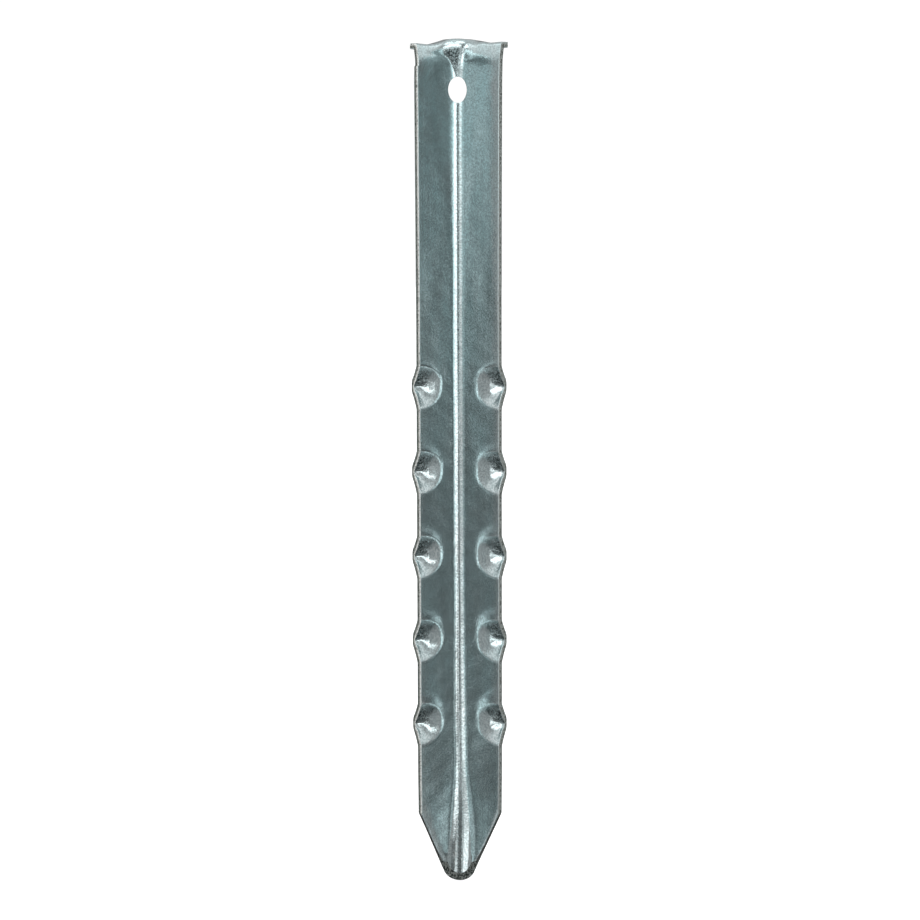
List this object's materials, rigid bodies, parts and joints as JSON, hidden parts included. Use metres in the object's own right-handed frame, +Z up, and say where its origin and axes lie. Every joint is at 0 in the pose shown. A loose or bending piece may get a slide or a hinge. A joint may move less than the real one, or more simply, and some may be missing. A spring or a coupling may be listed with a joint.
{
  "type": "post anchor spike",
  "caption": "Upright V-section ground spike pressed from one zinc-plated sheet, with a rolled head flange, a fixing hole under the head, barbed edges and a tapered driving tip.",
  "frame": {"origin": "lowest point of the driving tip, in the middle of the width and of the depth; the spike stands upright as driven", "axes": "+Z up along the spike towards its head flange, +X across the V, -Y the side that the V opens to"},
  "size_m": [0.0336, 0.0168, 0.3],
  "materials": {
    "zinc_plated_steel": "satin zinc plating over pressed steel, bare sheared edges"
  },
  "bodies": {
    "root": {"spike_body": "zinc_plated_steel"}
  },
  "joints": []
}
